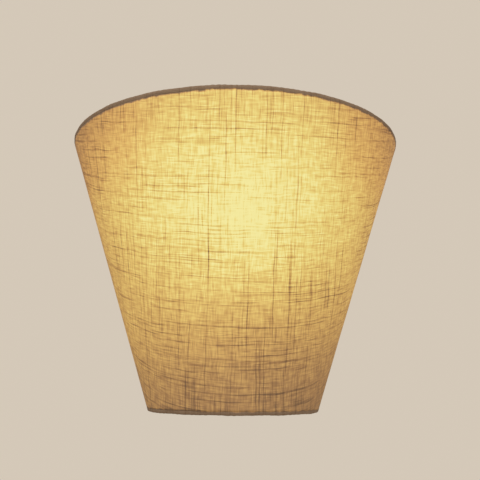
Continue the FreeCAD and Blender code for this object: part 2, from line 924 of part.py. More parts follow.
def make_holder_skirt():
    """The lampholder's upper sleeve. Its collar steadies the screw shell's top."""
    outer = cap_radius
    spigot = outer - size["cap_wall"] - size["fit_gap"] / 2
    bore = outer - size["skirt_wall"]
    collar = shell_outer + size["fit_gap"]
    top = size["skirt_height"]
    chamfer = size["edge_break"]
    points = [
        (spigot - size["spigot_wall"], -size["spigot_length"]),
        (spigot, -size["spigot_length"]),
        (spigot, 0),
        (outer, 0),
        (outer, top - chamfer),
        (outer - chamfer, top),
        (collar, top),
        (collar, top - size["skirt_collar"]),
        (bore, top - size["skirt_collar"]),
        (bore, size["skirt_wall"] / 2),
        (spigot - size["spigot_wall"], 0),
    ]
    on_arm(turned("holder_skirt", points), size["cap_height"])


def make_lead(label, side):
    """A lead from the block down and out to the lampholder: two straight runs and one arc."""
    x = (pole_side * side).value
    y = block_y.value
    start = (size["block_rise"] + (size["block_height"] - size["tube_length"]) / 2).value
    level = lead_z.value
    end = (holder_y + size["terminal_size"] / 2).value
    bend = BEND_SHARE * min(start - level, y - end)
    corner = Vector(x, y, level)
    first = Vector(x, y, start)
    last = Vector(x, end, level)
    arc_start = corner + Vector(0, 0, bend)
    arc_end = corner + Vector(0, -bend, 0)
    centre = corner + Vector(0, -bend, bend)
    arc_middle = centre + Vector(0, 1, -1).normalize() * bend
    edges = [
        Part.LineSegment(first, arc_start).toShape(),
        Part.Arc(arc_start, arc_middle, arc_end).toShape(),
        Part.LineSegment(arc_end, last).toShape(),
    ]
    path = Part.Wire(edges)
    radius = size["lead_radius"].value
    section = Part.Wire(Part.Circle(first, Vector(0, 0, 1), radius).toShape())
    tube = path.makePipeShell([section], True, False)
    volume = math.pi * radius ** 2 * path.Length
    print(f"{label}: bend radius {bend:.2f}, volume over section times length {tube.Volume / volume:.4f}")
    feature = doc.addObject("Part::Feature", label)
    feature.Shape = tube
    feature.Placement = FreeCAD.Placement()
    node(feature)


# ---------------------------------------------------------------- lamp


def in_holder(body):
    """Stand a piece of the lamp with its tip over the centre contact."""
    return node(place(body, 0, holder_y, bulb_z))


def globe_profile(offset):
    """The glass's neck and globe, this far inside its outer face, from the neck up."""
    globe = size["globe_radius"]
    curve = size["neck_curve"]
    neck = size["neck_radius"]
    centre = size["bulb_length"] - globe
    side = neck + curve
    reach = globe + curve
    drop = root(reach * reach - side * side)
    share = (globe - offset) / reach
    return {
        "neck": neck - offset,
        "neck_top": centre - drop,
        "meet": (side * share, centre - drop * share),
        "crown": (0, centre + globe - offset),
        "curve": curve + offset,
        "globe": globe - offset,
    }


def neck_throat():
    """The outer radius of the glass neck where the lamp's base is cemented round it."""
    return size["base_radius"] - size["thread_depth"] - size["shell_wall"] - size["cement_gap"]


def make_bulb_globe():
    """The glass globe, a closed neck that the base grips and a ball, as one thin shell."""
    outer = globe_profile(as_size(0))
    inner = globe_profile(size["glass_thick"])
    throat = neck_throat()
    glass = size["glass_thick"]
    shoulder = size["base_top"] + size["edge_gap"]
    foot = size["stem_foot"]
    points = [
        (throat - glass, foot),
        (throat, foot),
        (throat, shoulder),
        (outer["neck"], shoulder + glass),
        (outer["neck"], outer["neck_top"]),
        outer["meet"],
        outer["crown"],
        inner["crown"],
        inner["meet"],
        (inner["neck"], inner["neck_top"]),
        (inner["neck"], shoulder + glass * 2),
        (throat - glass, shoulder + glass),
    ]
    arcs = {4: -outer["curve"], 5: outer["globe"], 7: -inner["globe"], 8: inner["curve"]}
    in_holder(turned("bulb_globe", points, arcs))


def make_bulb_cap():
    """The lamp's rolled screw base."""
    crest = size["base_radius"]
    wall = size["shell_wall"]
    depth = size["thread_depth"]
    start = size["base_start"]
    taper = size["base_taper"]
    top = size["base_top"]
    outer = [(crest - taper, start), (crest - depth, start + taper)]
    outer += threads(crest - depth, depth, start + taper + depth, BASE_TURNS)
    outer += [(crest - size["edge_gap"], top - size["base_collar"]), (crest - size["edge_gap"], top)]
    inner = [(radius - wall, height) for radius, height in outer]
    in_holder(turned("bulb_cap", outer + inner[::-1]))


def make_bulb_base():
    """The lamp's insulator and the solder tip under it."""
    tip = size["tip_radius"]
    rise = size["tip_height"]
    start = size["base_start"]
    rim = size["base_radius"] - size["base_taper"]
    collar = rim - size["shell_wall"] - size["hole_gap"]
    points = [
        (0, rise),
        (tip + size["edge_break"], rise),
        (rim, start - size["hole_gap"]),
        (collar, start - size["hole_gap"]),
        (collar, start + size["base_taper"]),
        (0, start + size["base_taper"]),
    ]
    in_holder(turned("bulb_insulator", points))
    chamfer = size["edge_break"]
    button = [(0, 0), (tip - chamfer, 0), (tip, chamfer), (tip, rise), (0, rise)]
    in_holder(turned("bulb_tip", button))


def make_bulb_inside():
    """What stands inside the glass: the stem, the two support wires and the filament."""
    throat = neck_throat()
    glass = size["glass_thick"]
    foot = size["stem_foot"]
    stem_top = size["stem_top"]
    stem = size["stem_radius"]
    pinch = stem / 2
    points = [
        (0, foot - glass),
        (throat, foot - glass),
        (throat, foot),
        (throat - glass * 1.5, foot),
        (stem, foot + size["stem_flare"]),
        (stem, stem_top - pinch),
        (pinch, stem_top),
        (0, stem_top),
    ]
    in_holder(turned("bulb_stem", points))

    centre = size["bulb_length"] - size["globe_radius"]
    wire = size["support_radius"]
    spread = size["filament_half"]
    wires = []
    for number, side in enumerate((-1, 1), start=1):
        body = doc.addObject("Part::Cylinder", f"bulb_wire_{number}")
        rise = centre - stem_top
        run = spread - pinch
        bind(body, "Radius", wire)
        bind(body, "Height", root(run * run + rise * rise))
        lean = tilt(run, rise)
        place(body, pinch * side, holder_y, bulb_z + stem_top + wire / 2, Vector(0, side, 0), lean)
        wires.append(body)
    node(group("bulb_wires", wires))

    coil = new_body("bulb_filament")
    section = new_sketch(coil, "YZ_Plane", "section")
    draw_circle(section, 0, 0, size["filament_radius"])
    pad(coil, section, spread * 2, midplane=True)
    node(place(coil, 0, holder_y, bulb_z + centre + wire + size["filament_radius"]))


# ---------------------------------------------------------------- shade


def on_frame(obj):
    """Set a shade piece on the cone's axis, its local z = 0 at the shade's bottom edge."""
    return place(obj, 0, frame_y, shade_base)


def trim_sides(body, depth):
    """Take the strip next to the frame's flat back off a half-round piece."""
    strip = new_sketch(body, "XZ_Plane", "back_strip")
    wide = size["top_radius"] * PAST
    tall = size["shade_height"] * PAST
    draw_outline(strip, rectangle(-wide, -tall, wide, tall))
    pocket(body, strip, depth, along_normal=True)


def sheet_band(label, outer, thick):
    """Half a cone of sheet whose outer face is this far outside the frame's centre line."""
    inner = outer - thick
    hem = size["hem_radius"]
    start = root(hem * hem - inner * inner) + size["edge_gap"]
    end = slope_length - start
    corners = []
    for along, offset in ((start, outer), (start, inner), (end, inner), (end, outer)):
        radius = ring_bottom + along * slope_sine + offset * slope_cosine
        height = hem + along * slope_cosine - offset * slope_sine
        corners.append((radius, height))
    body = turned(label, corners, half=True)
    trim_sides(body, start)
    return node(on_frame(body))


def make_fabric():
    """The linen cover and the translucent liner that it is glued to."""
    outer = size["hem_radius"]
    sheet_band("shade_cover", outer, size["cover_thick"])
    sheet_band("shade_liner", outer - size["cover_thick"] - size["glue_gap"], size["liner_thick"])


def half_ring(label, radius, height, thickness, trim, bore=None):
    """Half a ring of round wire or tube on the shade's axis, with its ends cut flat."""
    body = new_body(label)
    section = new_sketch(body, "XZ_Plane", "section")
    draw_circle(section, radius, height, thickness)
    if bore is not None:
        draw_circle(section, radius, height, bore)
    revolve(body, section, half=True)
    trim_sides(body, trim)
    return on_frame(body)


def ring_levels():
    """Name, radius and height above the bottom edge of the frame's two half rings."""
    hem = size["hem_radius"]
    return [("bottom", ring_bottom, hem), ("top", ring_top, size["shade_height"] - hem)]


def make_rings():
    """The two half rings of wire and the hem of cloth rolled round each."""
    wire = size["wire_radius"]
    hem = size["hem_radius"]
    for name, radius, height in ring_levels():
        node(half_ring(f"hoop_{name}", radius, height, wire, wire))
        trim = hem + size["edge_gap"]
        node(half_ring(f"hem_{name}", radius, height, hem, trim, wire + size["wrap_gap"]))


def slanted(label, side, radius, overrun):
    """A round bar along one side of the frame, past both ring centres by overrun."""
    bar = doc.addObject("Part::Cylinder", label)
    bind(bar, "Radius", radius)
    bind(bar, "Height", slope_length + overrun * 2)
    x = (ring_bottom - overrun * slope_sine) * side
    z = shade_base + size["hem_radius"] - overrun * slope_cosine
    return place(bar, x, frame_y, z, Vector(0, side, 0), slope_angle)


def box(label, left, right, back, front, bottom, top):
    """An upright box between these planes. front is the smaller y."""
    block = doc.addObject("Part::Box", label)
    bind(block, "Length", right - left)
    bind(block, "Width", back - front)
    bind(block, "Height", top - bottom)
    return place(block, left, front, bottom)


def make_sides():
    """The two side wires, and the hem of cloth along each with room for what is welded to it."""
    hem = size["hem_radius"]
    wire = size["wire_radius"]
    room = wire + size["wrap_gap"]
    top = shade_base + size["shade_height"]
    notch = size["bar_thick"] / 2 + size["tongue_gap"]
    for name, side in (("left", -1), ("right", 1)):
        overrun = size["rod_overrun"]
        node(slanted(f"rod_{name}", side, wire, overrun))
        core = slanted(f"hem_{name}_core", side, hem, hem * 3)
        reach = size["top_radius"] * PAST
        slab = box(f"hem_{name}_slab", -reach, reach, reach, -reach, shade_base, top)
        level = doc.addObject("Part::Common", f"hem_{name}_blank")
        level.Base = core
        level.Tool = slab
        tools = [slanted(f"hem_{name}_bore", side, room, overrun + size["wrap_gap"])]
        for level_name, radius, height in ring_levels():
            ring = half_ring(f"hem_{name}_{level_name}_eye", radius, height, room, room / 2)
            tools.append(ring)
        bar_low = tray_top - size["tongue_gap"]
        bar_high = tray_top + size["bar_height"] + size["tongue_gap"]
        inner = frame_radius(tray_top) - hem * 3
        outer = frame_radius(tray_top + size["bar_height"])
        left, right = (inner, outer) if side > 0 else (-outer, -inner)
        tools.append(box(f"hem_{name}_notch", left, right, frame_y + notch, frame_y - notch,
                         bar_low, bar_high))
        tools.append(top_bar(f"hem_{name}_top_eye", room))
        node(cut(f"hem_{name}", level, *tools))


def top_bar(label, radius):
    """A straight round bar across the frame at the height of the top ring."""
    bar = doc.addObject("Part::Cylinder", label)
    bind(bar, "Radius", radius)
    bind(bar, "Height", ring_top * 2)
    height = shade_base + size["shade_height"] - size["hem_radius"]
    return place(bar, -ring_top, frame_y, height, Vector(0, 1, 0), 90)


def weld_tools(label):
    """The side wires with a small gap round them, which pieces welded between them stop at."""
    room = size["wire_radius"] + size["wrap_gap"]
    return [slanted(f"{label}_{name}", side, room, room * 3) for name, side in (("left", -1), ("right", 1))]


def make_back_bars():
    """The straight wire across the top and the flat hanger bar with its tongues."""
    wire = top_bar("top_back_wire_blank", size["wire_radius"])
    node(cut("top_back_wire", wire, *weld_tools("top_back_wire_weld")))

    body = new_body("hanger_bar_blank")
    low = tray_top
    high = tray_top + size["bar_height"]
    tip = low - size["tongue_length"]
    inner = (size["tongue_spacing"] - size["tongue_width"]) / 2
    outer = (size["tongue_spacing"] + size["tongue_width"]) / 2
    right = [(inner, low), (inner, tip), (outer, tip), (outer, low), (frame_radius(low), low),
             (frame_radius(high), high)]
    left = [(-x, z) for x, z in right[::-1]]
    outline = new_sketch(body, "XZ_Plane", "outline")
    draw_outline(outline, right + left)
    pad(body, outline, size["bar_thick"], midplane=True)
    place(body, 0, frame_y, 0)
    node(cut("hanger_bar", body, *weld_tools("hanger_bar_weld")))


# ---------------------------------------------------------------- build, check and write

make_back_tray()
make_cable_bush()
make_terminal_block()
make_terminal_tubes()
make_terminal_screws()
make_block_screw()
make_earth_terminal()
make_holder_arm()
make_arm_rivets()
make_nipple()
make_holder_cap()
make_holder_terminals()
make_holder_insert()
make_contact_rivets()
make_screw_shell()
make_centre_contact()
make_holder_skirt()
make_lead("lead_brown", -1)
make_lead("lead_blue", 1)
make_bulb_globe()
make_bulb_cap()
make_bulb_base()
make_bulb_inside()
make_fabric()
make_rings()
make_sides()
make_back_bars()
doc.recompute()

for item in doc.Objects:
    if "Invalid" in item.State or "Error" in item.State:
        raise RuntimeError(f"{item.Name} failed: {item.State}")
for item in nodes:
    if item.Shape.isNull() or not item.Shape.isValid():
        raise RuntimeError(f"{item.Label} has no valid shape")

os.makedirs("parts", exist_ok=True)
for item in nodes:
    item.Shape.exportStep(os.path.join("parts", f"{item.Label}.step"))
print(f"{len(nodes)} nodes written")
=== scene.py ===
"""Looks of the fabric shade wall light.

A half cone of slubby linen over a translucent liner, lit from inside by a small frosted lamp that
stands in a screw lampholder on a pressed steel wall tray. The lamp's light through the cloth and on
the liner is painted in as glow. Metres, in the part's own frame: the wall
is the plane y = 0, the light stands out towards -Y, and +Z is up.
"""

import json
import math

import bmesh
import bpy
import numpy as np
from mathutils import Matrix, Vector


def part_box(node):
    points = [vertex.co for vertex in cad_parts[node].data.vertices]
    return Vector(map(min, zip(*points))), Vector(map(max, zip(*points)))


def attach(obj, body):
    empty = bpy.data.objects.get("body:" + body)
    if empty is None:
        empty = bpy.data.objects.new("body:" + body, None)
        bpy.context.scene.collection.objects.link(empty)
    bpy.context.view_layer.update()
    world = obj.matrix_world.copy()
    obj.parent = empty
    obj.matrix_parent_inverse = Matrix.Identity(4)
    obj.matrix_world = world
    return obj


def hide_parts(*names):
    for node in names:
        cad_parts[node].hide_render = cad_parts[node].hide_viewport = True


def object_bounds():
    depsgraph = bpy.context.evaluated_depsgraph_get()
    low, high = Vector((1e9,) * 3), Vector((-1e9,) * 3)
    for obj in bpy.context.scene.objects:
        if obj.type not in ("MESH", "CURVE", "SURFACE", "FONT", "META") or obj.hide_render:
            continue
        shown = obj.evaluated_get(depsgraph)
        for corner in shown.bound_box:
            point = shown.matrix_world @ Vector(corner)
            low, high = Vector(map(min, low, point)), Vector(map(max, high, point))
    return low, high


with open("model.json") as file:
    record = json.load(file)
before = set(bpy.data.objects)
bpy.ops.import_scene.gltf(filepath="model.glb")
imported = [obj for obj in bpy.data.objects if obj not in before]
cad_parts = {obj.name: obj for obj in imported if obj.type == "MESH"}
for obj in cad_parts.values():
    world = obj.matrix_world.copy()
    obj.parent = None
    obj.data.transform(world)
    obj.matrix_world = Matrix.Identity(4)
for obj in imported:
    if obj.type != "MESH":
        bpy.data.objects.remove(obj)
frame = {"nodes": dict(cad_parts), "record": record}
cad_low, cad_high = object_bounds()

MM = 0.001


# ---------------------------------------------------------------- sizes read from the frame


def corners(node):
    """Lowest and highest corner of a node as arrays."""
    low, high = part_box(node)
    return np.array(low), np.array(high)


rod_low, rod_high = corners("rod_left")
hem_low, hem_high = corners("hem_left")
top_low, top_high = corners("hoop_top")
bottom_low, bottom_high = corners("hoop_bottom")
globe_low, globe_high = corners("bulb_globe")
bar_top = corners("hanger_bar")[1][2]

# The frame's wire and the roll of cloth round it.
WIRE = (rod_high[1] - rod_low[1]) / 2
HEM = (hem_high[1] - hem_low[1]) / 2
FRAME_Y = (rod_high[1] + rod_low[1]) / 2
CLOTH = 0.5 * MM
ROLL = HEM - CLOTH / 2

# The cone through the middles of the frame's two half rings.
RING_TOP = top_high[0] - WIRE
RING_BOTTOM = bottom_high[0] - WIRE
TOP_Z = (top_low[2] + top_high[2]) / 2
BOTTOM_Z = (bottom_low[2] + bottom_high[2]) / 2
SLOPE = math.hypot(RING_TOP - RING_BOTTOM, TOP_Z - BOTTOM_Z)
SINE = (RING_TOP - RING_BOTTOM) / SLOPE
COSINE = (TOP_Z - BOTTOM_Z) / SLOPE
APEX = RING_BOTTOM / SINE

# How far the cloth's edge and the liner's inner face are from the wire's centre line.
EDGE = 1.38 * MM
LINER_INNER = 0.85 * MM

# The lamp's glass ball.
LAMP_RADIUS = (globe_high[0] - globe_low[0]) / 2
LAMP = np.array([0.0, (globe_low[1] + globe_high[1]) / 2, globe_high[2] - LAMP_RADIUS])


# ---------------------------------------------------------------- camera, lights, world and floor

# Where the camera stands, how far it is tipped up, turned to the right and rolled in degrees, and
# its lens and film width in millimetres.
CAMERA_PLACE = (-0.0270, -0.5554, -0.0591)
CAMERA_UP = 12.08
CAMERA_TURN = 3.28
CAMERA_ROLL = 0.45
CAMERA_LENS = 48.75
CAMERA_FILM = 36.0

BACKDROP = (0.66, 0.58, 0.48, 1.0)
AMBIENT = 0.40

# How far the floor is below the part, half its width, and where it starts to fade out.
FLOOR_DROP = 0.45
FLOOR_HALF = 0.85
FLOOR_FADE = FLOOR_HALF * 0.45

# The soft lamps: name, place, width, and the light that each gives a white face of the shade.
SOFT_LAMPS = (
    ("key", (-0.9, -1.5, 1.5), 1.2, 0.48),
    ("fill", (1.5, -1.3, 0.3), 1.4, 0.20),
    ("back", (0.6, 1.8, 1.0), 1.4, 0.34),
)

# The light of the lamp in the shade, in watts.
LAMP_COLOUR = (1.0, 0.78, 0.46)
LAMP_POWER = 0.07


def make_camera():
    """The camera at the photograph's place, turned to the right, tipped up and rolled a little."""
    data = bpy.data.cameras.new("camera")
    data.lens = CAMERA_LENS
    data.sensor_width = CAMERA_FILM
    data.clip_start = 0.01
    camera = bpy.data.objects.new("camera", data)
    bpy.context.scene.collection.objects.link(camera)
    camera.location = CAMERA_PLACE
    turned = Matrix.Rotation(math.radians(-CAMERA_TURN), 3, "Z")
    tipped = Matrix.Rotation(math.radians(90 + CAMERA_UP), 3, "X")
    rolled = Matrix.Rotation(math.radians(CAMERA_ROLL), 3, "Z")
    camera.rotation_euler = (turned @ tipped @ rolled).to_euler()
    bpy.context.scene.camera = camera


def soft_lamp(name, place, width, share):
    """A square soft lamp aimed at the shade. share is the light it gives a white face there."""
    data = bpy.data.lights.new(name, "AREA")
    data.size = width
    lamp = bpy.data.objects.new(name, data)
    bpy.context.scene.collection.objects.link(lamp)
    aim = Vector((0, FRAME_Y, (TOP_Z + BOTTOM_Z) / 2)) - Vector(place)
    lamp.matrix_world = Matrix.Translation(place) @ aim.to_track_quat("-Z", "Y").to_matrix().to_4x4()
    data.energy = share * math.pi ** 2 * aim.length_squared


def make_studio():
    """Three soft lamps, the lamp's own warm light, an even sky and a pale floor well below."""
    for name, place, width, share in SOFT_LAMPS:
        soft_lamp(name, place, width, share)
    make_lamp_glow()
    make_sky()
    make_floor()


def make_lamp_glow():
    """The light of the lit lamp, which passes its own glass and wires."""
    glow = bpy.data.lights.new("lamp_glow", "POINT")
    glow.color = LAMP_COLOUR
    glow.energy = LAMP_POWER
    glow.shadow_soft_size = LAMP_RADIUS
    lamp = bpy.data.objects.new("lamp_glow", glow)
    lamp.location = LAMP
    bpy.context.scene.collection.objects.link(lamp)
    for node in ("bulb_globe", "bulb_stem", "bulb_wires", "bulb_filament"):
        frame["nodes"][node].visible_shadow = False


def make_sky():
    """An even white sky for the light, and the backdrop's colour for what the camera, gloss and
    glass see."""
    world = bpy.data.worlds.new("sky")
    world.use_nodes = True
    bpy.context.scene.world = world
    tree = world.node_tree
    tree.nodes.clear()
    rays = tree.nodes.new("ShaderNodeLightPath")
    seen = rays.outputs["Is Camera Ray"]
    for ray in ("Is Glossy Ray", "Is Transmission Ray"):
        either = tree.nodes.new("ShaderNodeMath")
        either.operation = "MAXIMUM"
        tree.links.new(seen, either.inputs[0])
        tree.links.new(rays.outputs[ray], either.inputs[1])
        seen = either.outputs[0]
    even = tree.nodes.new("ShaderNodeBackground")
    even.inputs["Color"].default_value = (1, 1, 1, 1)
    even.inputs["Strength"].default_value = AMBIENT
    pale = tree.nodes.new("ShaderNodeBackground")
    pale.inputs["Color"].default_value = BACKDROP
    mix = tree.nodes.new("ShaderNodeMixShader")
    tree.links.new(seen, mix.inputs[0])
    tree.links.new(even.outputs[0], mix.inputs[1])
    tree.links.new(pale.outputs[0], mix.inputs[2])
    out = tree.nodes.new("ShaderNodeOutputWorld")
    tree.links.new(mix.outputs[0], out.inputs["Surface"])


def make_floor():
    """A pale square floor that fades out towards its edge."""
    level = cad_low[2] - FLOOR_DROP
    half = FLOOR_HALF
    places = [(-half, -half, level), (half, -half, level), (half, half, level), (-half, half, level)]
    mesh = bpy.data.meshes.new("floor")
    mesh.from_pydata(places, [], [(0, 1, 2, 3)])
    floor = bpy.data.objects.new("floor", mesh)
    bpy.context.scene.collection.objects.link(floor)
    paint = Finish("floor", roughness=0.9)
    paint.to_shader("Base Color", BACKDROP)
    reach = paint.vector("LENGTH", paint.vector("MULTIPLY", paint.place(), (1, 1, 0)))
    paint.to_shader("Alpha", paint.step(reach, FLOOR_FADE, FLOOR_HALF, 1.0, 0.0))
    mesh.materials.append(paint.material)


# ---------------------------------------------------------------- node trees


class Finish:
    """A material's node tree round one Principled shader, with short calls for the nodes used here."""

    def __init__(self, name, roughness=0.5, **constants):
        self.material = bpy.data.materials.new(name)
        self.material.use_nodes = True
        self.tree = self.material.node_tree
        self.shader = self.tree.nodes["Principled BSDF"]
        self.shader.inputs["Roughness"].default_value = roughness
        for socket, value in constants.items():
            self.shader.inputs[socket.replace("_", " ")].default_value = value

    def add(self, kind, values=(), **settings):
        """A node of this kind, with its settings, and its inputs in order set or linked."""
        node = self.tree.nodes.new(kind)
        for name, value in settings.items():
            setattr(node, name, value)
        for socket, value in zip(node.inputs, values):
            self.feed(socket, value)
        return node

    def feed(self, socket, value):
        """Link another node's output to a socket, or set the socket to a number or colour."""
        if isinstance(value, bpy.types.NodeSocket):
            self.tree.links.new(value, socket)
        elif value is not None:
            socket.default_value = value

    def to_shader(self, socket, value):
        """Feed one of the Principled shader's sockets."""
        self.feed(self.shader.inputs[socket], value)

    def glow(self, colour):
        """Give off light of this colour, where white is full strength."""
        self.to_shader("Emission Color", colour)
        self.shader.inputs["Emission Strength"].default_value = 1.0

    def math(self, operation, first, second=None, third=None):
        return self.add("ShaderNodeMath", (first, second, third), operation=operation).outputs[0]

    def plus(self, first, second):
        return self.math("ADD", first, second)

    def minus(self, first, second):
        return self.math("SUBTRACT", first, second)

    def times(self, first, second):
        return self.math("MULTIPLY", first, second)

    def over(self, first, second):
        return self.math("DIVIDE", first, second)

    def times_plus(self, first, second, third):
        """first x second + third."""
        return self.math("MULTIPLY_ADD", first, second, third)

    def vector(self, operation, first, second=None):
        node = self.add("ShaderNodeVectorMath", (first, second), operation=operation)
        plain = operation in ("LENGTH", "DOT_PRODUCT", "DISTANCE")
        return node.outputs["Value" if plain else "Vector"]

    def split(self, vector):
        """A vector's three numbers."""
        return self.add("ShaderNodeSeparateXYZ", (vector,)).outputs

    def join(self, x, y, z=0.0):
        """A vector of three numbers."""
        return self.add("ShaderNodeCombineXYZ", (x, y, z)).outputs[0]

    def place(self):
        """The point on the piece, in metres."""
        return self.add("ShaderNodeTexCoord").outputs["Object"]

    def held(self, name):
        """A number that the mesh holds for each of its points."""
        return self.add("ShaderNodeAttribute", attribute_name=name).outputs["Fac"]

    def noise(self, place, scale, detail=0.0, flat=False, colour=False):
        """Smooth noise from 0 to 1, one number or three. scale is in turns a metre."""
        node = self.add("ShaderNodeTexNoise", noise_dimensions="2D" if flat else "3D")
        self.feed(node.inputs["Vector"], place)
        self.feed(node.inputs["Scale"], scale)
        self.feed(node.inputs["Detail"], detail)
        return node.outputs[1 if colour else 0]

    def step(self, value, low, high, start=0.0, end=1.0):
        """A smooth step of value from low to high, as a number from start to end."""
        values = (value, low, high, start, end)
        return self.add("ShaderNodeMapRange", values, interpolation_type="SMOOTHSTEP").outputs[0]

    def blend(self, share, first, second, kind="MIX"):
        """Two colours mixed by a share. A colour may be given as three numbers."""
        node = self.add("ShaderNodeMix", data_type="RGBA", blend_type=kind)
        self.feed(node.inputs[0], share)
        for socket, colour in zip((node.inputs[6], node.inputs[7]), (first, second)):
            self.feed(socket, (*colour, 1.0) if isinstance(colour, tuple) else colour)
        return node.outputs[2]

    def ramp(self, value, stops):
        """A colour read along stops of place and colour."""
        node = self.add("ShaderNodeValToRGB", (value,))
        band = node.color_ramp.elements
        while len(band) < len(stops):
            band.new(0.5)
        for element, (place, colour) in zip(band, stops):
            element.position = place
            element.color = (*colour, 1.0)
        return node.outputs[0]

    def bump(self, height, depth):
        """A bump of this depth in metres to the shader's normal."""
        node = self.add("ShaderNodeBump")
        node.inputs["Distance"].default_value = depth
        self.feed(node.inputs["Height"], height)
        self.feed(self.shader.inputs["Normal"], node.outputs[0])


# ---------------------------------------------------------------- linen

# Widths of a fine and a thick thread, and how long a thread's drift and its slubs are. A knot's
# length is a share of a slub's.
THREAD = 0.8 * MM
THICK_THREAD = 1.5 * MM
DRIFT_LENGTH = 8 * MM
WARP_SLUB = 130 * MM
WEFT_SLUB = 90 * MM
KNOT_SHARE = 0.4

# Each thread reads the noise on a line of its own, this far from the next one's, and the warp's and
# the weft's lines start well apart.
STRIDE = 7.31
WARP_SHIFT = 41.7
WEFT_SHIFT = 93.1

# How far the threads sway, to the side and up.
SWAY = (3 * MM, 3.5 * MM, 0)

# How much light is held back by slubs and by knots in the warp and in the weft, by the drift of the
# threads' thickness, by a thread's round middle, and by a gap, which lets more through.
SLUB_HOLD = (0.21, 0.20)
KNOT_HOLD = (0.11, 0.15)
DRIFT_HOLD = 0.29
ROUND_HOLD = 0.05
GAP_HOLD = -0.30

# How much higher a slub stands than a thread, and how deep the weave's bump is.
SLUB_HEIGHT = 1.5
WEAVE_DEPTH = 0.16 * MM

# The linen's colours are darker and warmer than undyed linen: painted shade and warm tint of dim room
# light on the cloth's outside.
FLAX = (0.268, 0.167, 0.098)
FLAX_PALE = (0.330, 0.222, 0.140)
FLAX_DARK = (0.155, 0.090, 0.050)

# The cloth's painted glow, the lamp's light through it, by how bright it is lit from behind, from the
# painted shade of the wire to the middle.
GLOW = (
    (0.14, (0.0, 0.0, 0.0)),
    (0.30, (0.168, 0.074, 0.012)),
    (0.47, (0.392, 0.219, 0.040)),
    (0.66, (0.556, 0.378, 0.076)),
    (0.82, (0.644, 0.537, 0.126)),
    (0.97, (0.695, 0.675, 0.258)),
)

# The upper corners glow a little redder than the rest.
CORNER_TINT = (1.0, 0.89, 0.84)

# The lamp's light painted as glow on the cloth turned over to the inside.
INNER_GLOW = (0.42, 0.27, 0.13)

# Where the light comes from, and the distance at which it counts as full.
SOURCE = tuple(LAMP + (-4 * MM, 0, 0))
FULL_AT = 0.070

# A painted highlight on the cloth's glow, its brightest spot, where the lamp's filament stands nearest
# to it, its size and the light that it adds.
HOT = (-3 * MM, -0.112, 0.050)
HOT_RADIUS = 38 * MM
HOT_LIGHT = 0.30

# How much the light grows with its rise above level, and how strong it is when level.
UPWARD = (0.52, 0.8)

# Steps from one place to another, and from one number to another: by height, how much the light
# fades towards the sides and leans to the right, and by the turn, its drop at the very sides.
SIDE_FADE = (-0.035, 0.055, 0.22, 1.25)
LEAN = (-0.030, 0.030, -0.14, 0.0)
SIDE_DROP = (0.88, 0.99, 1.0, 0.78)

# The light that has bounced inside the shade, and how fast the cloth's brightness levels off.
BOUNCED = 0.05
LEVELLING = -4.6

# The edge of the painted glow along the roll, past which the wire and turned cloth leave painted shade:
# where it fades, how ragged it is, and how its line steps outward from the left of one place in the
# cloth to the right of it.
GLOW_EDGE = (-2.5 * MM, -0.4 * MM)
RAGGED = 2.6 * MM
DEEPER = (-29 * MM, -25 * MM, 0.45 * MM, -0.25 * MM)


def lamp_light(finish, through=1.0):
    """How brightly the lamp lights the shade from inside, from 0 to 1, for the glow that paints its
    light into the cloth and liner.

    The light falls off with the square of the distance and with its slant to the cone, is stronger
    above the lamp than below it, where the lampholder is in the way, fades towards the sides more
    in the upper part and to the right in the lower part, drops at the very sides, has a soft spot
    in front of the filament, and levels off where it is strong, as one minus the exponential of
    minus the light. through is the share that the cloth lets pass.
    """
    place = finish.place()
    away = finish.vector("SUBTRACT", place, SOURCE)
    distance = finish.vector("LENGTH", away)
    x, y, z = finish.split(place)
    outward = finish.vector("NORMALIZE", finish.join(x, finish.minus(y, FRAME_Y)))
    normal = finish.vector("ADD", finish.vector("MULTIPLY", outward, (COSINE,) * 3), (0, 0, -SINE))
    slant = finish.over(finish.vector("DOT_PRODUCT", normal, away), distance)
    nearness = finish.math("POWER", finish.over(FULL_AT, distance), 2)
    rise = finish.over(finish.split(away)[2], distance)
    direct = finish.times(finish.times(slant, nearness), finish.times_plus(rise, *UPWARD))

    side = finish.split(outward)[0]
    sideways = finish.math("POWER", side, 2)
    facing = finish.over(1.0, finish.times_plus(sideways, finish.step(z, *SIDE_FADE), 1.0))
    facing = finish.times(facing, finish.step(sideways, *SIDE_DROP))
    lean = finish.times(side, finish.step(z, *LEAN))
    facing = finish.times(facing, finish.plus(lean, 1.0))

    total = finish.times(finish.plus(direct, BOUNCED), facing)
    spot = finish.step(finish.vector("DISTANCE", place, HOT), 0.0, HOT_RADIUS, HOT_LIGHT, 0.0)
    total = finish.times(finish.plus(total, spot), through)
    return finish.minus(1.0, finish.math("EXPONENT", finish.times(total, LEVELLING)))


def strips(finish, across, width, shift, sharpness):
    """Strips side by side: the noise line of the strip that a place is in, and how round it is there."""
    count = finish.over(across, width)
    line = finish.times_plus(finish.math("FLOOR", count), STRIDE, shift)
    off_middle = finish.times_plus(finish.math("FRACT", count), 2.0, -1.0)
    hollow = finish.math("POWER", finish.math("ABSOLUTE", off_middle), sharpness)
    return line, finish.minus(1.0, hollow)


def noise_along(finish, line, along, length, detail=0.0):
    """Noise along one strip, with swellings of about this length."""
    return finish.noise(finish.join(line, finish.over(along, length)), 1.0, detail, flat=True)


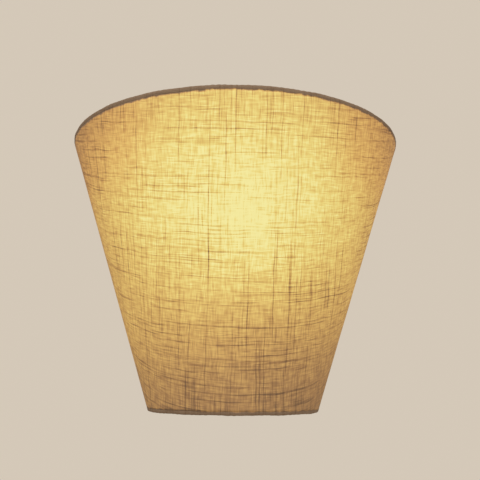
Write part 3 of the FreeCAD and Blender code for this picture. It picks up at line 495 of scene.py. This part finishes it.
def threads(finish, across, along, shift, length):
    """One set of threads: how round each is across, how its thickness drifts, its slubs and knots.

    Each thread is a strip one width wide, and the noise along it says where it is thicker and
    darker. length is about how long its slubs are.
    """
    line, roundness = strips(finish, across, THREAD, shift, 2.5)
    drift = noise_along(finish, line, along, DRIFT_LENGTH)
    slub = finish.step(noise_along(finish, line, along, length, 0.6), 0.61, 0.78)
    thick_line, thick_round = strips(finish, across, THICK_THREAD, shift * 2, 2.0)
    swelling = noise_along(finish, thick_line, along, length * KNOT_SHARE)
    return roundness, drift, slub, finish.times(finish.step(swelling, 0.68, 0.84), thick_round)


def weave(finish, pattern):
    """The cloth's two sets of threads at a place in its flat pattern.

    Gives the place across the cloth after the threads' sway, how much light the threads hold back,
    the share of that which is slubs, the gaps between threads, and the height of the surface.
    """
    bend = finish.noise(pattern, 22.0, 2.0, flat=True, colour=True)
    sway = finish.vector("MULTIPLY", finish.vector("SUBTRACT", bend, (0.5, 0.5, 0.5)), SWAY)
    u, v, _ = finish.split(finish.vector("ADD", pattern, sway))
    warp_round, warp_drift, warp_slub, warp_knot = threads(finish, u, v, WARP_SHIFT, WARP_SLUB)
    weft_round, weft_drift, weft_slub, weft_knot = threads(finish, v, u, WEFT_SHIFT, WEFT_SLUB)

    patches = finish.step(finish.noise(pattern, 24.0, 2.0, flat=True), 0.30, 0.70, 0.55, 1.30)
    slubs = finish.plus(finish.times(warp_slub, SLUB_HOLD[0]), finish.times(weft_slub, SLUB_HOLD[1]))
    knots = finish.plus(finish.times(warp_knot, KNOT_HOLD[0]), finish.times(weft_knot, KNOT_HOLD[1]))
    dense = finish.times(finish.plus(slubs, knots), patches)
    drift = finish.times(finish.minus(finish.plus(warp_drift, weft_drift), 1.0), DRIFT_HOLD)
    gap = finish.times(finish.minus(1.0, warp_round), finish.minus(1.0, weft_round))
    both_round = finish.plus(warp_round, weft_round)
    fine = finish.times_plus(gap, GAP_HOLD, finish.times(both_round, ROUND_HOLD))
    hold = finish.plus(dense, finish.plus(drift, fine))
    height = finish.plus(finish.times(both_round, 0.5), finish.times(dense, SLUB_HEIGHT))
    return u, hold, dense, gap, height


def linen_glow(finish, pattern, across, hold):
    """The cloth's painted glow: the lamp's light through it, dimmed by each thread that it passes, more
    by a slub.

    It stops at the rolled edges along a slightly ragged line, leaving painted shade of the wire. The
    lamp's light is painted as glow on the cloth turned over to the inside, from the front.
    """
    ragged = finish.noise(pattern, 210.0, 3.0, flat=True)
    line = finish.times_plus(finish.minus(ragged, 0.5), RAGGED, finish.held("past_edge"))
    deeper = finish.step(across, *DEEPER)
    clear = finish.step(finish.plus(line, deeper), *GLOW_EDGE, 1.0, 0.0)
    through = finish.math("MAXIMUM", finish.minus(1.07, hold), 0.1)
    light = finish.times(lamp_light(finish, through), finish.math("POWER", through, 0.85))
    light = finish.times(finish.times(light, clear), finish.held("shine"))

    x, _, z = finish.split(finish.place())
    outer = finish.step(finish.math("ABSOLUTE", x), 0.05, 0.09)
    corner = finish.times(finish.step(z, 0.06, 0.11), outer)
    from_behind = finish.blend(corner, finish.ramp(light, GLOW), CORNER_TINT, "MULTIPLY")

    inside = finish.times(lamp_light(finish), finish.minus(1.0, hold))
    inside = finish.times(inside, finish.held("inside"))
    return finish.blend(1.0, from_behind, finish.blend(inside, (0, 0, 0), INNER_GLOW), "ADD")


def linen(name, glows):
    """Slubby undyed linen. Its threads lie straight in the cloth's flat pattern."""
    finish = Finish(name, roughness=0.9, Specular_IOR_Level=0.1)
    pattern = finish.add("ShaderNodeUVMap", uv_map="flat").outputs[0]
    across, hold, dense, gap, height = weave(finish, pattern)
    tone = finish.blend(finish.step(hold, -0.25, 0.45), FLAX_PALE, FLAX)
    tone = finish.blend(finish.times(dense, 0.6), tone, FLAX_DARK)
    # Darker in the gaps between threads: painted shade in the weave's hollows.
    tone = finish.blend(finish.times(gap, 0.7), tone, FLAX_DARK)
    finish.to_shader("Base Color", tone)
    finish.bump(height, WEAVE_DEPTH)
    if glows:
        finish.glow(linen_glow(finish, pattern, across, hold))
    return finish.material


# ---------------------------------------------------------------- surfaces


def grid(*coordinates):
    """Points in rows and columns, from an array for each of their two or three coordinates."""
    return np.stack(np.broadcast_arrays(*coordinates), -1)


def zero_to_one(value):
    """Numbers with those below 0 and above 1 brought back to 0 and 1."""
    return np.clip(value, 0, 1)


def piece(name, points, flat, material, keep=None, closed=False, **values):
    """A mesh of the quads between neighbouring points of a grid, with its flat pattern and values.

    points is rows x columns x 3, flat is rows x columns x 2, keep says which quads stay, closed
    welds points that meet, and each other value is a number for each point.
    """
    rows, columns = points.shape[:2]
    index = np.arange(rows * columns).reshape(rows, columns)
    quads = np.stack([index[:-1, :-1], index[:-1, 1:], index[1:, 1:], index[1:, :-1]], -1)
    quads = quads.reshape(-1, 4) if keep is None else quads[keep]
    used, quads = np.unique(quads, return_inverse=True)
    quads = quads.reshape(-1, 4)
    mesh = bpy.data.meshes.new(name)
    mesh.from_pydata(points.reshape(-1, 3)[used], [], quads)
    if flat is not None:
        layer = mesh.uv_layers.new(name="flat")
        layer.data.foreach_set("uv", flat.reshape(-1, 2)[used][quads].astype(np.float32).ravel())
    for key, value in values.items():
        numbers = np.broadcast_to(value, (rows, columns)).ravel()[used]
        attribute = mesh.attributes.new(key, "FLOAT", "POINT")
        attribute.data.foreach_set("value", numbers.astype(np.float32))
    mesh.materials.append(material)
    if closed:
        weld = bmesh.new()
        weld.from_mesh(mesh)
        bmesh.ops.remove_doubles(weld, verts=weld.verts, dist=0.001 * MM)
        bmesh.ops.recalc_face_normals(weld, faces=weld.faces)
        weld.to_mesh(mesh)
        weld.free()
    mesh.shade_smooth()
    made = bpy.data.objects.new(name, mesh)
    bpy.context.scene.collection.objects.link(made)
    return made


def thicken(made, thickness):
    """Give a sheet its thickness, half to each side."""
    wall = made.modifiers.new("thickness", "SOLIDIFY")
    wall.thickness = thickness
    wall.offset = 0.0
    wall.use_even_offset = True
    return made


def wander(places, length, amount, seed):
    """A smooth random line: six waves of about this length and random phase, added up."""
    random = np.random.default_rng(seed)
    lengths = length * random.uniform(0.6, 1.7, 6)
    phases = random.uniform(0, 2 * math.pi, 6)
    waves = np.sin(2 * math.pi * np.asarray(places)[..., None] / lengths + phases)
    return amount * waves.sum(-1) / math.sqrt(6)


def on_cone(turn, along, offset):
    """Points of the shade: radius is the bottom radius + along x sine + offset x cosine, and height
    is the bottom height + along x cosine - offset x sine, at a turn from the side that faces the room.
    """
    radius = RING_BOTTOM + along * SINE + offset * COSINE
    height = BOTTOM_Z + along * COSINE - offset * SINE
    return grid(radius * np.sin(turn), FRAME_Y - radius * np.cos(turn), height)


def flat_pattern(turn, along):
    """Where a point of the cone lies in the cloth laid flat: its distance from the cone's point stays,
    and its turn shrinks by the cone's sine."""
    reach = APEX + along
    return grid(reach * np.sin(turn * SINE), reach * np.cos(turn * SINE))


def side_turn(along):
    """The turn at which the cone at this height comes within the cloth's edge of the back plane."""
    return np.arccos(EDGE / (RING_BOTTOM + along * SINE))


# ---------------------------------------------------------------- cover and hems

COVER_ROWS = 130
COVER_COLUMNS = 260
HEM_COLUMNS = 420
SIDE_ROWS = 240

# The cover's ripples fade out this near its round edges, and in a twelfth of its half width at its
# sides. Puckers fade out this near a hem's ends.
COVER_CALM = 12 * MM
HEM_CALM = 10 * MM

# The cloth goes this far round the wire, then over to the liner's inner face, a hair clear of it,
# where it lies from the lap's start on for about the lap.
WRAP = math.radians(250)
LAP_OFFSET = LINER_INNER - CLOTH / 2 - 0.02 * MM
LAP_START = 3.4 * MM
LAP = 5.0 * MM
LAP_LEAST = 1 * MM
LAP_SPARE = 0.3 * MM

# The slits for the hanger bar and the top wire: the bar's height, the slit's spare above and below
# it, and half the slit's width.
BAR_HEIGHT = 12 * MM
SLIT_SPARE = 0.6 * MM
SLIT_HALF = 1.2 * MM

# Random lines: about how long their waves are, and how high. The cover ripples round it and up it,
# the round hems pucker and swell, and the side hems swell.
RIPPLE_ROUND = (70 * MM, 0.10 * MM)
RIPPLE_UP = (60 * MM, 0.07 * MM)
PUCKER = (5 * MM, 0.07 * MM)
SWELL = (26 * MM, 0.10 * MM)
SIDE_SWELL = (30 * MM, 0.07 * MM)
RING_EDGE = (16 * MM, 0.35 * MM)
SIDE_EDGE = (20 * MM, 0.35 * MM)

# The domes over the corners are this much thinner than the roll.
FOLD_SPARE = 0.04 * MM

# How much of the glow a side hem has at its edge, and how far round the wire it is gone.
SIDE_SHINE = 0.42
SIDE_SHINE_FADE = 6 * MM


def make_cover(material):
    """The linen: a half cone drawn tight over the liner, with ripples of a tenth of a millimetre.

    Its points are on_cone(turn, along, roll + ripple), from side to side and from ring to ring.
    """
    along = np.linspace(EDGE, SLOPE - EDGE, COVER_ROWS)[:, None]
    share = np.linspace(-1, 1, COVER_COLUMNS)[None, :]
    turn = share * side_turn(along)
    inside = zero_to_one((1 - np.abs(share)) * 12) * zero_to_one((along - EDGE) / COVER_CALM)
    inside = inside * zero_to_one((SLOPE - EDGE - along) / COVER_CALM)
    ripple = wander(turn * APEX, *RIPPLE_ROUND, 3) + wander(along + turn * 0.02, *RIPPLE_UP, 4)
    points = on_cone(turn, along, ROLL + ripple * inside)
    past = np.maximum(-along, along - SLOPE) + 0 * turn
    cover = piece("linen_cover", points, flat_pattern(turn, along), material, past_edge=past, shine=1.0)
    return thicken(cover, CLOTH)


def rolled_line(lap):
    """Middle line of the cloth round a wire, as offset from it, reach past it, and length along.

    Straight up past the wire's outer side, round it on an arc, (roll x cosine, roll x sine) of the
    angle, on a cubic curve over to the liner's inner face, and down that face for the lap, whose
    length may differ along the hem.
    """
    straight = np.linspace(-EDGE, 0, 4)[:-1]
    arc = np.linspace(0, WRAP, 20)
    start = np.array([math.cos(WRAP), math.sin(WRAP)]) * ROLL
    heading = np.array([-math.sin(WRAP), math.cos(WRAP)]) * 0.9 * MM
    end = np.array([LAP_OFFSET, -LAP_START])
    share = np.linspace(0, 1, 9)[1:, None]
    pull = end + np.array([0, 1.0 * MM])
    curve = ((1 - share) ** 3 * start + 3 * (1 - share) ** 2 * share * (start + heading)
             + 3 * (1 - share) * share ** 2 * pull + share ** 3 * end)
    down = np.linspace(0, 1, 5)[1:]
    lap = np.asarray(lap)[..., None]
    shape = lap.shape[:-1]
    offset = np.concatenate([np.full(3, ROLL), ROLL * np.cos(arc), curve[:, 0], np.full(4, LAP_OFFSET)])
    fixed = np.concatenate([straight, ROLL * np.sin(arc), curve[:, 1]])
    reach = np.concatenate([np.broadcast_to(fixed, (*shape, fixed.size)), -LAP_START - lap * down], -1)
    offset = np.broadcast_to(offset, reach.shape)
    steps = np.hypot(np.diff(offset, axis=-1), np.diff(reach, axis=-1))
    length = np.concatenate([np.zeros((*shape, 1)), np.cumsum(steps, -1)], -1) - EDGE
    return offset, reach, length


def on_inside(length):
    """How far a place on the rolled cloth has come round to the side that faces the lamp, 0 to 1."""
    return zero_to_one((length - 5 * MM) / (2 * MM))


def ring_hem(name, material, ring, way, seed):
    """Linen rolled round a half ring. It puckers a little, and its raw edge inside isn't quite even.

    Its points are on_cone(turn, ring + way x reach x bulge, offset x bulge) of the rolled line.
    """
    centre = 0.0 if way < 0 else SLOPE
    turn = np.linspace(-math.pi / 2, math.pi / 2, HEM_COLUMNS)
    round_way = turn * ring
    to_side = (math.pi / 2 - np.abs(turn)) * ring
    lap = np.clip(LAP + wander(round_way, *RING_EDGE, seed), LAP_LEAST, to_side + LAP_SPARE)
    offset, reach, length = rolled_line(lap)
    calm = zero_to_one(to_side / HEM_CALM)
    pucker = wander(round_way, *PUCKER, seed + 1) * calm
    swell = wander(round_way, *SWELL, seed + 2) * calm
    on_roll = zero_to_one((reach + EDGE) / EDGE)
    bulge = on_roll * (pucker + swell)[:, None] / ROLL
    points = on_cone(turn[:, None], centre + way * reach * (1 + bulge), offset * (1 + bulge))
    flat = flat_pattern(turn[:, None], centre + way * length)
    if way > 0:
        points, flat, length = points[::-1], flat[::-1], length[::-1]
    hem = piece(name, points, flat, material, past_edge=length, shine=1.0, inside=on_inside(length))
    return thicken(hem, CLOTH)


def side_hem(name, material, side, seed):
    """Linen turned round a side wire, with slits where the hanger bar and the top wire are welded.

    Of the rolled line's offset and reach, x is the cone's radius + offset x cosine, z is the height
    along the cone - offset x sine, and y is the frame's + reach. Past the wire it follows the cone,
    so its offset loses the reach squared over twice the radius.
    """
    along = np.linspace(0, SLOPE, SIDE_ROWS)
    ring = RING_BOTTOM + along * SINE
    to_ring = np.minimum(along, SLOPE - along)
    lap = np.clip(LAP + wander(along, *SIDE_EDGE, seed), LAP_LEAST, to_ring + LAP_SPARE)
    offset, reach, length = rolled_line(lap)
    calm = zero_to_one(to_ring / HEM_CALM)
    bulge = wander(along, *SIDE_SWELL, seed + 1)[:, None] * calm[:, None]
    offset = offset * (1 + bulge / ROLL)
    sag = np.where(reach < 0, reach ** 2 / (2 * ring[:, None]), 0)
    out = offset - sag
    x = side * (ring[:, None] + out * COSINE)
    z = BOTTOM_Z + along[:, None] * COSINE - out * SINE
    points = np.stack([x, FRAME_Y + reach + 0 * x, z], -1)
    turn = side * (math.pi / 2 + length / ring[:, None])
    flat = flat_pattern(turn, along[:, None] + 0 * turn)

    centre_z = BOTTOM_Z + along * COSINE
    bar_foot = bar_top - BAR_HEIGHT
    near_bar = (centre_z > bar_foot - SLIT_SPARE) & (centre_z < bar_top + SLIT_SPARE)
    near_wire = centre_z > TOP_Z - WIRE * 1.3
    inner = (offset < -0.5 * ROLL) & (np.abs(reach) < SLIT_HALF)
    slit = inner & (near_bar | near_wire)[:, None]
    keep = ~(slit[:-1, :-1] & slit[1:, 1:])
    if side < 0:
        points, flat, length, keep = points[::-1], flat[::-1], length[::-1], keep[::-1]
    shine = zero_to_one(SIDE_SHINE - np.clip(length, 0, None) / SIDE_SHINE_FADE)
    hem = piece(name, points, flat, material, keep, past_edge=-1.0, shine=shine,
                inside=on_inside(length))
    return thicken(hem, CLOTH)


def make_corner_folds(material):
    """The tucked corners: a dome of cloth, as thick as the roll, over each end of each side wire.

    Its points are radius x (sine x cosine, sine x sine, cosine) of the polar angle and the turn.
    """
    polar = np.linspace(0.0, math.pi, 13)[:, None]
    around = np.linspace(0, 2 * math.pi, 25)[None, :]
    ball = grid(np.sin(polar) * np.cos(around), np.sin(polar) * np.sin(around), np.cos(polar))
    folds = []
    for number, (ring, level) in enumerate(((RING_BOTTOM, BOTTOM_Z), (RING_TOP, TOP_Z))):
        for side in (-1, 1):
            points = ball * (HEM - FOLD_SPARE) + (side * ring, FRAME_Y, level)
            flat = grid(around * HEM + side, polar * HEM)
            name = f"corner_fold_{number * 2 + (side > 0) + 1}"
            folds.append(piece(name, points, flat, material, closed=True))
    return folds


def make_shade_cloth():
    """The cover, its rolled hems and its tucked corners, riding on the shade in place of the frame's
    cover and hems.
    """
    glowing = linen("linen", True)
    cover = make_cover(glowing)
    hems = [
        ring_hem("top_hem", glowing, RING_TOP, 1, 11),
        ring_hem("bottom_hem", glowing, RING_BOTTOM, -1, 21),
        side_hem("left_hem", glowing, -1, 31),
        side_hem("right_hem", glowing, 1, 41),
    ]
    folds = make_corner_folds(linen("linen_unlit", False))
    nodes = ("shade_cover", "hem_top", "hem_bottom", "hem_left", "hem_right")
    for made, node in zip([cover, *hems], nodes):
        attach(made, "shade")
        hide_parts(node)
    for made in folds:
        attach(made, "shade")


# ---------------------------------------------------------------- the lamp's screw base

PITCH = 2.822 * MM
THREAD_DEPTH = 0.45 * MM
THREAD_FOOT = 1.2 * MM
THREAD_HEAD = 17.0 * MM
THREAD_FADE = 1.4 * MM
BASE_WALL = 0.3 * MM
BASE_ROWS = 150
BASE_COLUMNS = 97


def make_lamp_base(material):
    """The lamp's rolled screw base, a thin tube that replaces the plain one.

    Its outer radius is the root radius + depth x half of one plus the cosine of (height / pitch as
    an angle - turn), which is a right-handed thread. The thread fades out at the foot and under the
    collar. The inner radius is less by the wall.
    """
    low, high = corners("bulb_cap")
    crest = (high[0] - low[0]) / 2
    root = crest - THREAD_DEPTH
    tall = high[2] - low[2]
    rise = np.linspace(0, tall, BASE_ROWS)[:, None]
    turn = np.linspace(0, 2 * math.pi, BASE_COLUMNS)[None, :]
    knees = np.array([0, 1.0 * MM, 16.4 * MM, 17.6 * MM, tall])
    plain = np.interp(rise, knees, [root - 0.55 * MM, root, root, crest - 0.1 * MM, crest - 0.1 * MM])
    fade = zero_to_one((rise - THREAD_FOOT) / THREAD_FADE)
    fade = fade * zero_to_one((THREAD_HEAD - rise) / THREAD_FADE)
    outer = plain + THREAD_DEPTH * fade * (1 + np.cos(2 * math.pi * rise / PITCH - turn)) / 2
    radius = np.concatenate([outer, outer[::-1] - BASE_WALL, outer[:1]])
    height = np.concatenate([rise, rise[::-1], rise[:1]]) + low[2]
    middle = (low[1] + high[1]) / 2
    points = grid(radius * np.cos(turn), middle + radius * np.sin(turn), height)
    base = piece("lamp_base", points, None, material, closed=True)
    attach(base, "bulb")
    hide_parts("bulb_cap")


# ---------------------------------------------------------------- finishes of the carried-over pieces


def cone_pattern(finish):
    """The flat pattern's place for a point near the cone, worked out from where the point is."""
    x, y, z = finish.split(finish.place())
    turn = finish.times(finish.math("ARCTAN2", x, finish.minus(FRAME_Y, y)), SINE)
    reach = finish.times_plus(finish.minus(z, BOTTOM_Z), 1 / COSINE, APEX)
    u = finish.times(reach, finish.math("SINE", turn))
    return finish.join(u, finish.times(reach, finish.math("COSINE", turn)))


def liner_sheet():
    """Translucent laminating sheet with the lamp's light painted on it as glow, and the cloth's threads
    faint behind it in its colour and dimming its painted glow.
    """
    finish = Finish("liner_sheet", roughness=0.38, Specular_IOR_Level=0.4)
    place = finish.place()
    hold = weave(finish, cone_pattern(finish))[1]
    shade = finish.step(hold, -0.1, 0.5)
    finish.to_shader("Base Color", finish.blend(shade, (0.74, 0.70, 0.59), (0.60, 0.54, 0.41)))
    light = finish.times(lamp_light(finish), finish.times_plus(shade, -0.35, 1.05))
    stops = ((0.0, (0.02, 0.010, 0.003)), (0.4, (0.16, 0.095, 0.030)), (0.95, (0.34, 0.26, 0.11)))
    finish.glow(finish.ramp(light, stops))
    finish.bump(finish.noise(place, 900.0, 2.0), 0.02 * MM)
    return finish.material


def enamel(name, colour, pits, roughness):
    """Paint on steel: an even colour with faint clouds, and the fine skin of a sprayed coat."""
    finish = Finish(name, roughness=roughness, Coat_Weight=0.25, Coat_Roughness=0.2)
    place = finish.place()
    clouds = finish.noise(place, 60.0, 2.0)
    darker = tuple(0.95 * part for part in colour)
    finish.to_shader("Base Color", finish.blend(finish.step(clouds, 0.3, 0.7), colour, darker))
    finish.to_shader("Roughness", finish.step(clouds, 0.2, 0.8, roughness - 0.06, roughness + 0.08))
    finish.bump(finish.noise(place, pits, 2.0), 0.03 * MM)
    return finish.material


def plated(name, colour, dull, roughness):
    """Bare or plated metal: rolled streaks across it and small dull spots."""
    finish = Finish(name, roughness=roughness, Metallic=1.0)
    place = finish.place()
    streaks = finish.noise(finish.vector("MULTIPLY", place, (0.15, 1.0, 1.0)), 3500.0, 3.0)
    spots = finish.step(finish.noise(place, 420.0, 2.0), 0.45, 0.75)
    finish.to_shader("Base Color", finish.blend(finish.times(spots, 0.6), colour, dull))
    rough = finish.times_plus(streaks, 0.16, roughness - 0.08)
    finish.to_shader("Roughness", finish.times_plus(spots, 0.12, rough))
    finish.bump(streaks, 0.01 * MM)
    return finish.material


def moulded(name, colour, tint, roughness, clear=0.0):
    """Moulded plastic: a colour that drifts a little towards a tint, with a fine spark-cut skin."""
    finish = Finish(name, roughness=roughness, Subsurface_Weight=clear, Subsurface_Scale=2 * MM)
    place = finish.place()
    drift = finish.noise(place, 130.0, 2.0)
    finish.to_shader("Base Color", finish.blend(finish.step(drift, 0.3, 0.7), colour, tint))
    finish.to_shader("Roughness", finish.step(drift, 0.2, 0.8, roughness - 0.05, roughness + 0.08))
    finish.bump(finish.noise(place, 2600.0, 1.0), 0.012 * MM)
    return finish.material


def lit_glass():
    """Frosted opal glass, lit: brightest round the filament and warmer down by the neck."""
    finish = Finish("lit_glass", roughness=0.35, Coat_Weight=0.2)
    place = finish.place()
    frost = finish.noise(place, 700.0, 2.0)
    finish.to_shader("Base Color", finish.blend(frost, (0.62, 0.59, 0.53), (0.68, 0.65, 0.60)))
    away = finish.over(finish.vector("DISTANCE", place, tuple(LAMP)), LAMP_RADIUS)
    shimmer = finish.step(frost, 0.2, 0.8, 0.0, 0.05)
    stops = (
        (0.0, (0.66, 0.58, 0.40)),
        (0.5, (0.58, 0.48, 0.28)),
        (0.8, (0.40, 0.25, 0.10)),
        (1.0, (0.20, 0.10, 0.03)),
    )
    finish.glow(finish.ramp(finish.plus(finish.step(away, 0.95, 2.2), shimmer), stops))
    finish.bump(frost, 0.01 * MM)
    return finish.material


def finishes():
    """The finish of each material slot of the record."""
    return {
        "liner": liner_sheet(),
        "white_wire": enamel("white_wire", (0.80, 0.79, 0.75), 1800.0, 0.42),
        "white_steel": enamel("white_steel", (0.82, 0.81, 0.77), 1100.0, 0.34),
        "zinc_steel": plated("zinc_steel", (0.66, 0.68, 0.70), (0.42, 0.43, 0.44), 0.30),
        "brass": plated("brass", (0.78, 0.60, 0.28), (0.45, 0.30, 0.12), 0.26),
        "white_moulding": moulded("white_moulding", (0.83, 0.82, 0.77), (0.81, 0.795, 0.74), 0.36),
        "insulator": moulded("insulator", (0.72, 0.68, 0.56), (0.66, 0.60, 0.47), 0.5),
        "clear_block": moulded("clear_block", (0.80, 0.81, 0.78), (0.74, 0.74, 0.68), 0.28, clear=0.4),
        "rubber_bush": moulded("rubber_bush", (0.030, 0.030, 0.031), (0.045, 0.043, 0.040), 0.62),
        "lead_brown": moulded("lead_brown", (0.155, 0.062, 0.028), (0.125, 0.048, 0.020), 0.34),
        "lead_blue": moulded("lead_blue", (0.045, 0.130, 0.420), (0.035, 0.100, 0.340), 0.34),
        "opal_glass": lit_glass(),
        "nickel": plated("nickel", (0.70, 0.68, 0.64), (0.45, 0.43, 0.40), 0.28),
        "black_glass": moulded("black_glass", (0.012, 0.012, 0.014), (0.020, 0.018, 0.018), 0.12),
        "solder": plated("solder", (0.55, 0.55, 0.56), (0.33, 0.33, 0.34), 0.45),
        "clear_glass": moulded("clear_glass", (0.85, 0.88, 0.86), (0.78, 0.82, 0.80), 0.08),
        "tungsten": plated("drawn_wire", (0.30, 0.29, 0.28), (0.18, 0.17, 0.16), 0.4),
    }


def finish_nodes(finish):
    """Give every carried-over node the finish of its slot in the record."""
    for part in frame["record"]["subparts"]:
        if part["material_slot"] in finish:
            mesh = frame["nodes"][part["node"]].data
            mesh.materials.clear()
            mesh.materials.append(finish[part["material_slot"]])


# ---------------------------------------------------------------- build

bpy.context.scene.view_settings.view_transform = "Standard"
make_camera()
make_studio()
make_shade_cloth()
slot_finishes = finishes()
finish_nodes(slot_finishes)
make_lamp_base(slot_finishes["nickel"])
